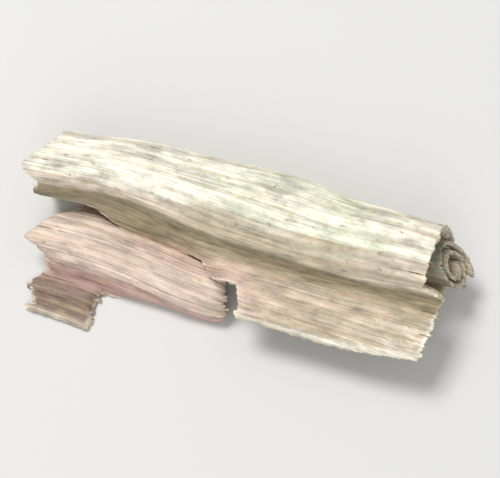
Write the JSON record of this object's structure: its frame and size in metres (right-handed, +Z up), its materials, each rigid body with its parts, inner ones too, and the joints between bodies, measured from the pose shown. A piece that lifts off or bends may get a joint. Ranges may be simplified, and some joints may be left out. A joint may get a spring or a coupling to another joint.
{
  "type": "cut piece of dried lemongrass stalk",
  "caption": "Short cut piece of dried lemongrass stalk: a rolled cream sheath with a side wing, over a torn pink outer sheath, with a small tan roll inside.",
  "frame": {"origin": "on the floor under the middle of the piece's box", "axes": "+X along the stalk towards the end where the small roll stands out, +Y across it away from the wing and flap, +Z up"},
  "size_m": [0.0208, 0.0088, 0.0044],
  "materials": {
    "outer_leaf": "dry ribbed leaf, dusty pink",
    "middle_leaf": "dry ribbed leaf, cream to pale green, tan on the wing",
    "inner_leaf": "dry ribbed leaf, tan grey"
  },
  "bodies": {
    "root": {"outer_sheath": "outer_leaf", "middle_sheath": "middle_leaf", "inner_sheath": "inner_leaf"}
  },
  "joints": []
}
